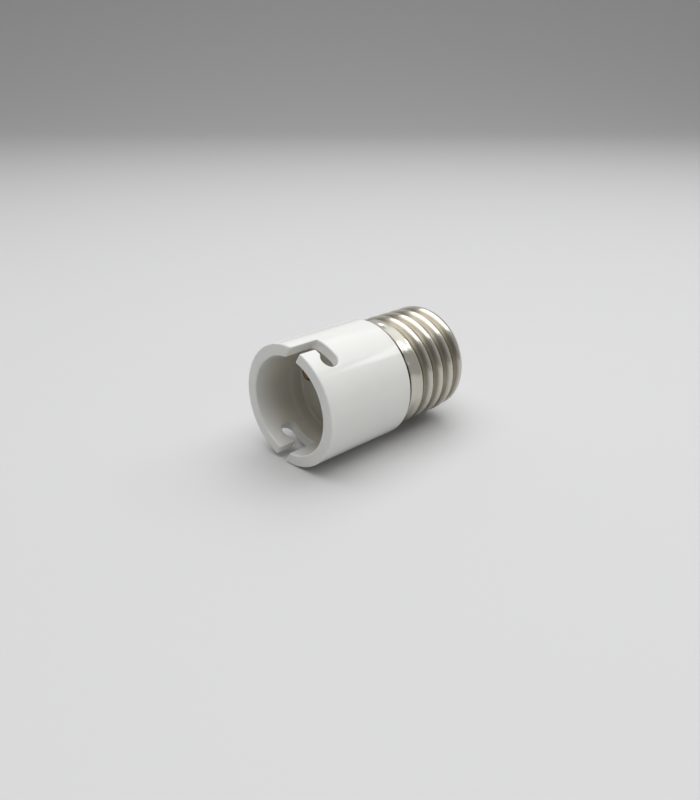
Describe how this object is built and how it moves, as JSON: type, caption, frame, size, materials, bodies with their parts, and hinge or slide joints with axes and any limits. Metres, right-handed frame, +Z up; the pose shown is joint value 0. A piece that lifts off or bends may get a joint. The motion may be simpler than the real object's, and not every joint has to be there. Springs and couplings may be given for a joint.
{
  "type": "lamp socket adapter",
  "caption": "White plastic lamp socket adapter with a bayonet socket and sprung contact plungers at one end and a metal Edison screw cap at the other.",
  "frame": {"origin": "middle of the footprint on the floor, under the axis, with the adapter lying on its barrel", "axes": "+Y along the axis from the bayonet socket's mouth to the screw end, +Z up, +X to the right seen from the mouth"},
  "size_m": [0.028, 0.05, 0.028],
  "materials": {
    "white_plastic": "smooth white moulded plastic with a soft sheen",
    "plated_cap": "bright nickel plating on rolled aluminium sheet",
    "brass": "plain turned and folded brass",
    "spring_steel": "drawn spring wire"
  },
  "bodies": {
    "adapter": {"holder_body": "white_plastic", "screw_cap": "plated_cap", "end_insulator": "white_plastic", "centre_contact": "brass", "plunger_spring_left": "spring_steel", "plunger_spring_right": "spring_steel", "centre_strip": "brass", "shell_strip": "brass"},
    "plunger_left": {"plunger_left": "brass"},
    "plunger_right": {"plunger_right": "brass"}
  },
  "joints": [
    {"name": "plunger_left_slide", "type": "slide", "parent": "adapter", "child": "plunger_left", "axis": [0, 1, 0], "range_m": [0, 0.0035], "stiffness_N_per_m": 700, "springref_m": -0.0015, "deforming": ["plunger_spring_left"]},
    {"name": "plunger_right_slide", "type": "slide", "parent": "adapter", "child": "plunger_right", "axis": [0, 1, 0], "range_m": [0, 0.0035], "stiffness_N_per_m": 700, "springref_m": -0.0015, "deforming": ["plunger_spring_right"]}
  ]
}
